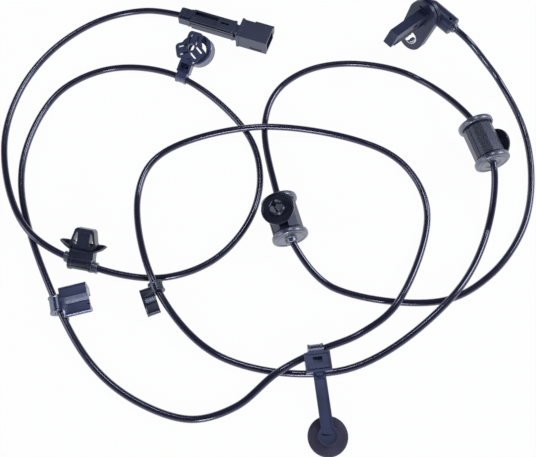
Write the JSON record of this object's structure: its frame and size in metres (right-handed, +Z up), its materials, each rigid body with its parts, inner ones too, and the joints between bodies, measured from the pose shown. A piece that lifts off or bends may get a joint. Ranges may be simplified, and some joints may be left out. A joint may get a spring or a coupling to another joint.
{
  "type": "wheel speed sensor with lead",
  "caption": "Wheel speed sensor head with a flanged ear and side boss, on a long jacketed lead with grommets, pipe clips, ties, a fir-tree stud and a plug.",
  "frame": {"origin": "under the middle of the sensor head's bounding box, on the surface that the head and lead lie on", "axes": "+Z up; +X runs across the laid-out lead towards the side the boss points to, +Y away from the front of the layout"},
  "size_m": [0.4049, 0.3624, 0.049],
  "materials": {
    "jacket": "satin black jacket with a lavender sheen",
    "housing_plastic": "smooth moulded, dark navy",
    "clip_plastic": "smooth moulded, slate violet sheen",
    "plug_plastic": "smooth moulded, near black",
    "rubber": "soft matt",
    "soft_disc": "soft matt, brownish violet",
    "carrier_plastic": "moulded, natural",
    "retainer_plastic": "moulded",
    "bush_steel": "bright",
    "tinned_copper": "tinned",
    "chip_resin": "moulded resin",
    "magnet": "plated"
  },
  "bodies": {
    "root": {"cable": "jacket", "sensor_housing": "housing_plastic", "mounting_bush": "bush_steel", "strain_relief": "rubber", "sensing_element": "chip_resin", "bias_magnet": "magnet", "element_carrier": "carrier_plastic", "lead_terminal_left": "tinned_copper", "lead_terminal_right": "tinned_copper", "middle_grommet_sleeve": "rubber", "middle_grommet_holder": "clip_plastic", "right_grommet_sleeve": "rubber", "right_grommet_holder": "clip_plastic", "small_pipe_clip": "clip_plastic", "large_pipe_clip": "clip_plastic", "large_pipe_clip_bush": "rubber", "long_tie": "clip_plastic", "long_tie_disc": "soft_disc", "star_tie": "clip_plastic", "star_tie_cup": "clip_plastic", "fir_tree_stud": "clip_plastic", "fir_tree_bush": "rubber", "connector_rear_cap": "plug_plastic", "connector_housing": "plug_plastic", "connector_wire_seal": "rubber", "connector_retainer": "retainer_plastic", "connector_blade_upper": "tinned_copper", "connector_blade_lower": "tinned_copper"}
  },
  "joints": []
}
